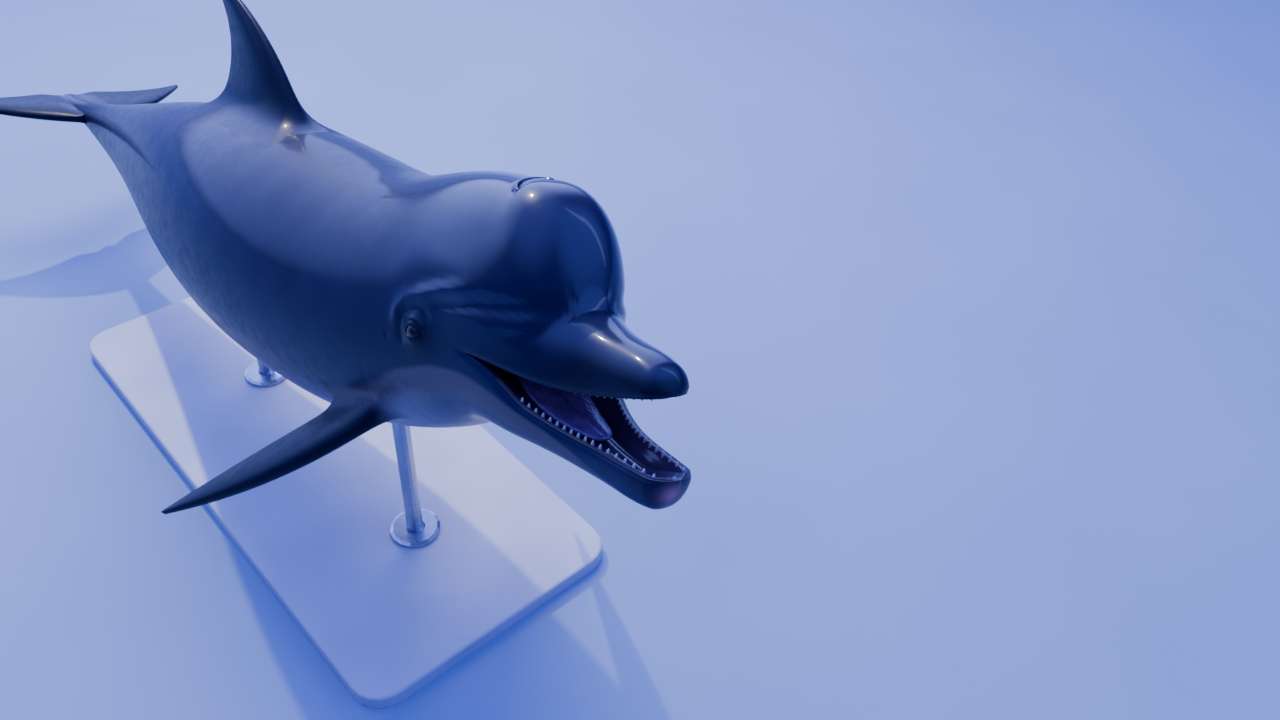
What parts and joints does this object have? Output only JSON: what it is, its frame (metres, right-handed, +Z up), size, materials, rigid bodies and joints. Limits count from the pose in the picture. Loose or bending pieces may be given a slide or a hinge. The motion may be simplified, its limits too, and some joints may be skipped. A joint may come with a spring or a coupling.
{
  "type": "dolphin display model",
  "caption": "Life-size bottlenose dolphin with its head raised and mouth open, held over a flat base by short upright rods.",
  "frame": {"origin": "middle of the display base's underside, on the floor", "axes": "+X along the animal towards its head, +Y to its left, +Z up"},
  "size_m": [2.4194, 0.7212, 1.0177],
  "materials": {
    "skin": "dark slate grey, smooth and wet looking, paler below",
    "mouth": "moist purple pink",
    "tooth": "smooth ivory",
    "eye": "polished, near black",
    "board": "painted pale grey, satin",
    "steel": "brushed"
  },
  "bodies": {
    "root": {"head": "skin", "lower_jaw": "skin", "trunk": "skin", "tail_stock": "skin", "dorsal_fin": "skin", "flipper_left": "skin", "flipper_right": "skin", "fluke_left": "skin", "fluke_right": "skin", "tongue": "mouth", "eye_left": "eye", "eye_right": "eye", "stand_base": "board", "stand_rod_front": "steel", "stand_rod_rear": "steel"}
  },
  "joints": []
}
